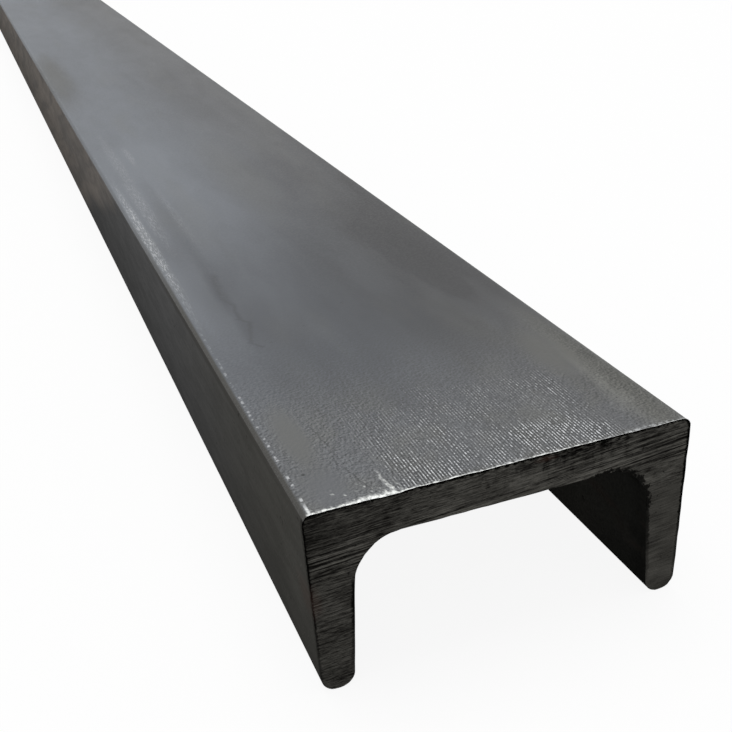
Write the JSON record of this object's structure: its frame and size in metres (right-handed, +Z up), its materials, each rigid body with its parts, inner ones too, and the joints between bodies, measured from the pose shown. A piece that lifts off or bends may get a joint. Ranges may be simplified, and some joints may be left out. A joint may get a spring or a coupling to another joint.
{
  "type": "steel u-channel",
  "caption": "Hot-rolled steel U-channel bar with a flat web, tapered flanges, filleted roots and rounded toes, raw stock for frames, runners and light beams.",
  "frame": {"origin": "under the middle of the bar, on the plane that its toes stand on", "axes": "+X along the bar, +Y across the web from one flange to the other, +Z up, out of the outer face of the web"},
  "size_m": [1, 0.05, 0.0258],
  "materials": {
    "mill_scale_steel": "blue-grey hot-rolling scale, satin on the web, darker on the flanges, with bare saw marks on both ends"
  },
  "bodies": {
    "root": {"channel": "mill_scale_steel"}
  },
  "joints": []
}
